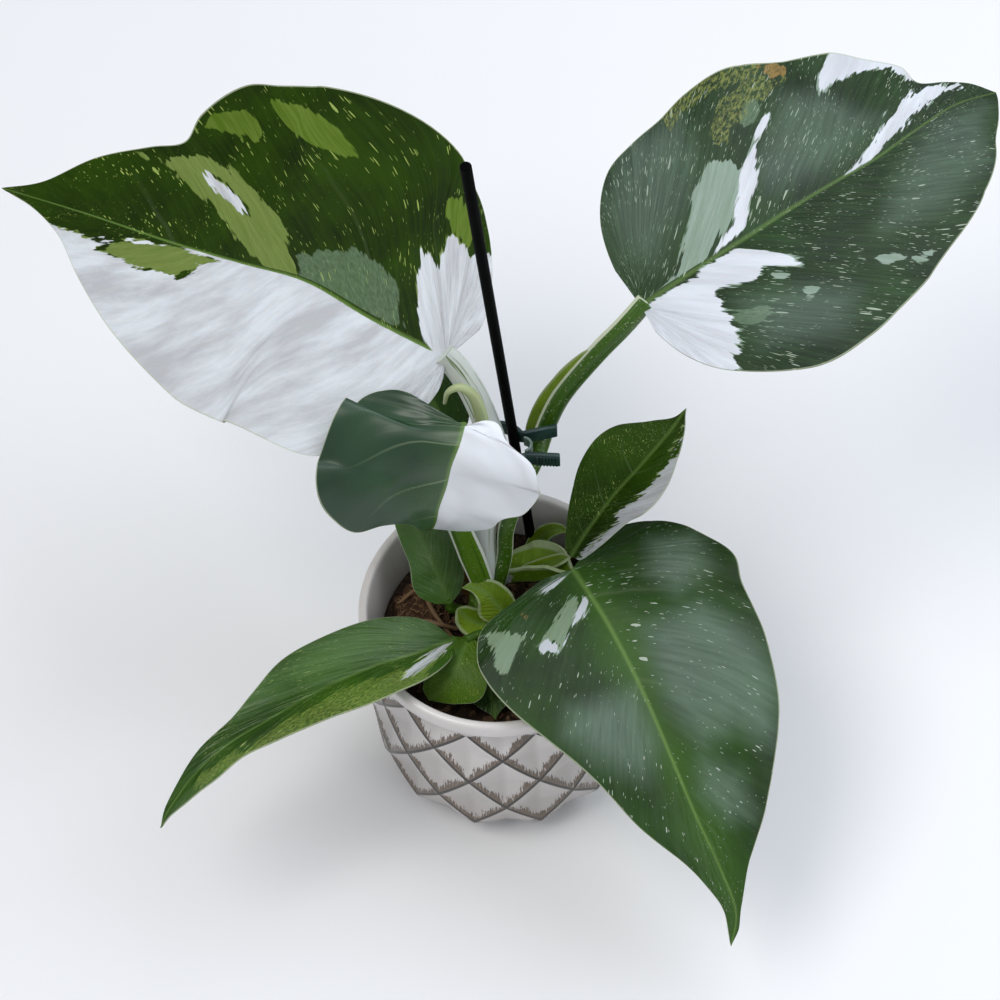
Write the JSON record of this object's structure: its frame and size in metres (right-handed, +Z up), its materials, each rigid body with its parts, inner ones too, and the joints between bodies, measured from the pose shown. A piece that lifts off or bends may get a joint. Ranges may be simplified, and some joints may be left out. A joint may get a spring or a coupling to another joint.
{
  "type": "potted white wizard philodendron",
  "caption": "Variegated philodendron with white and green heart-shaped leaves on long stalks, in a white faceted pot with a brown painted lattice, clipped to a thin stake.",
  "frame": {"origin": "centre of the pot's flat base", "axes": "+Z up; +X to the right and +Y away, as seen from the front of the pot"},
  "size_m": [0.4574, 0.3549, 0.3921],
  "materials": {
    "pot_white": "satin white glaze on sunk diamonds, brown paint brushed along the ridges",
    "potting_mix": "damp dark bark and coir mix",
    "bark_fibre": "coarse bark and brown root fibre",
    "leaf_dark": "satin dark green blade with cream flecks and pale veins",
    "leaf_pied": "satin blade, part white and part dark green",
    "leaf_bright": "satin bright green blade with cream streaks",
    "leaf_dry": "dry papery orange-brown sheath",
    "stalk_white": "white stalk with pale green streaks",
    "stalk_green": "satin green stalk with white margins",
    "stem_green": "knotty green stem",
    "clip_green": "semi-gloss dark teal-green moulded plastic",
    "clip_band": "pale grey-green bent plastic band",
    "stake_black": "satin black coating"
  },
  "bodies": {
    "plant": {"pot": "pot_white", "stake": "stake_black", "clip_near_half": "clip_green", "clip_spring": "clip_band", "leaf_broad_left": "leaf_pied", "leaf_broad_right": "leaf_dark", "leaf_drooping": "leaf_pied", "leaf_upright_right": "leaf_pied", "leaf_low_right": "leaf_dark", "leaf_low_left": "leaf_bright", "leaf_small_middle": "leaf_bright", "leaf_small_front": "leaf_bright", "leaf_shaded_front": "leaf_dark", "leaf_small_back": "leaf_dark", "crown": "stem_green", "stalk_broad_left": "stalk_white", "stalk_broad_right": "stalk_green", "stalk_drooping": "stalk_green", "stalk_low_left": "stalk_green", "stalk_small_middle": "stalk_green", "stalk_small_front": "stalk_green", "stalk_shaded_front": "stalk_green", "stalk_small_back": "stalk_green", "low_right_stalk": "stalk_green", "upright_right_stalk": "leaf_bright", "broad_right_sheath": "leaf_bright", "ear_sheath": "leaf_bright", "pointed_sheath": "leaf_bright", "back_sheath": "leaf_bright", "dried_sheath": "leaf_dry", "new_leaf_spear": "stalk_white", "potting_soil": "potting_mix", "root_ball": "bark_fibre"},
    "clip_jaw": {"clip_far_half": "clip_green"}
  },
  "joints": [
    {"name": "clip_hinge", "type": "hinge", "parent": "plant", "child": "clip_jaw", "pos_m": [0.017, 0.038, 0.193], "axis": [0, 0, 1], "range_deg": [-20, 0], "stiffness_Nm_per_rad": 0.05, "springref_deg": 11.46, "deforming": ["clip_spring"]}
  ]
}
